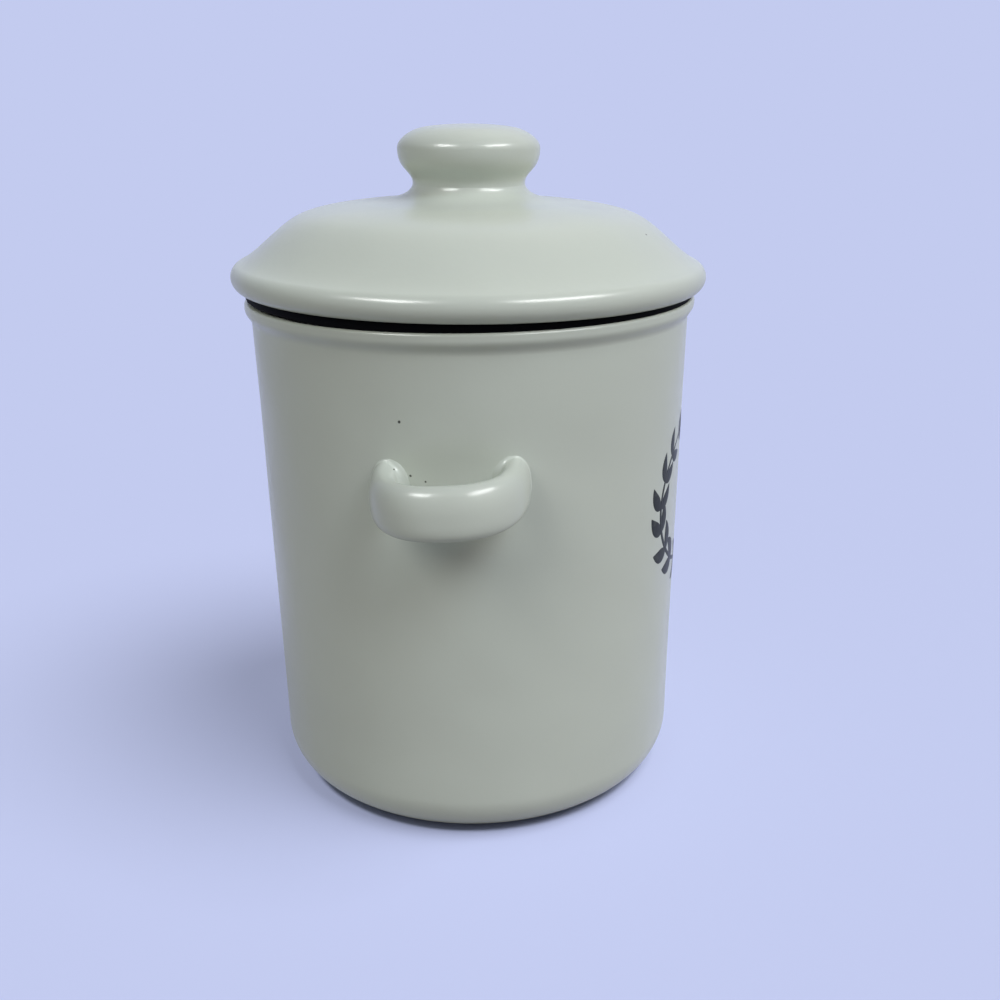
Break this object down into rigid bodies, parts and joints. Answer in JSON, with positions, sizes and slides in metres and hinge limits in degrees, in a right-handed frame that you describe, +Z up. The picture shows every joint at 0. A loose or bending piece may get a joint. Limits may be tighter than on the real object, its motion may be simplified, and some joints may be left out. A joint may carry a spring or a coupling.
{
  "type": "bacon grease container",
  "caption": "Glazed stoneware grease crock with lug handles, domed knob lid, black silicone seal and a lift-out mesh strainer.",
  "frame": {"origin": "centre of the foot ring on the table, on the crock's axis", "axes": "+Z up along the crock's axis, the front faces -Y, the lug handles stand out along -X and +X"},
  "size_m": [0.1532, 0.1224, 0.1738],
  "materials": {
    "glaze": "glossy white glaze with a grey-green cast on stoneware",
    "silicone": "satin black silicone",
    "steel": "spun and pressed stainless sheet",
    "steel_wire": "drawn stainless wire"
  },
  "bodies": {
    "crock_body": {"crock": "glaze", "left_handle": "glaze", "right_handle": "glaze"},
    "strainer_body": {"strainer_cup": "steel", "strainer_mesh": "steel_wire", "mesh_clamp_ring": "steel", "loop_clips": "steel"},
    "lid_body": {"lid": "glaze", "lid_knob": "glaze", "seal_ring": "silicone"},
    "front_loop_body": {"front_loop": "steel_wire"},
    "rear_loop_body": {"rear_loop": "steel_wire"}
  },
  "joints": [
    {"name": "strainer_lift", "type": "slide", "parent": "crock_body", "child": "strainer_body", "axis": [0, 0, 1], "range_m": [0, 0.06]},
    {"name": "lid_lift", "type": "slide", "parent": "strainer_body", "child": "lid_body", "axis": [0, 0, 1], "range_m": [0, 0.1]},
    {"name": "front_loop_fold", "type": "hinge", "parent": "strainer_body", "child": "front_loop_body", "pos_m": [0, -0.04414, 0.1156], "axis": [1, 0, 0], "range_deg": [0, 180]},
    {"name": "rear_loop_fold", "type": "hinge", "parent": "strainer_body", "child": "rear_loop_body", "pos_m": [0, 0.04414, 0.1156], "axis": [-1, 0, 0], "range_deg": [0, 180]}
  ]
}
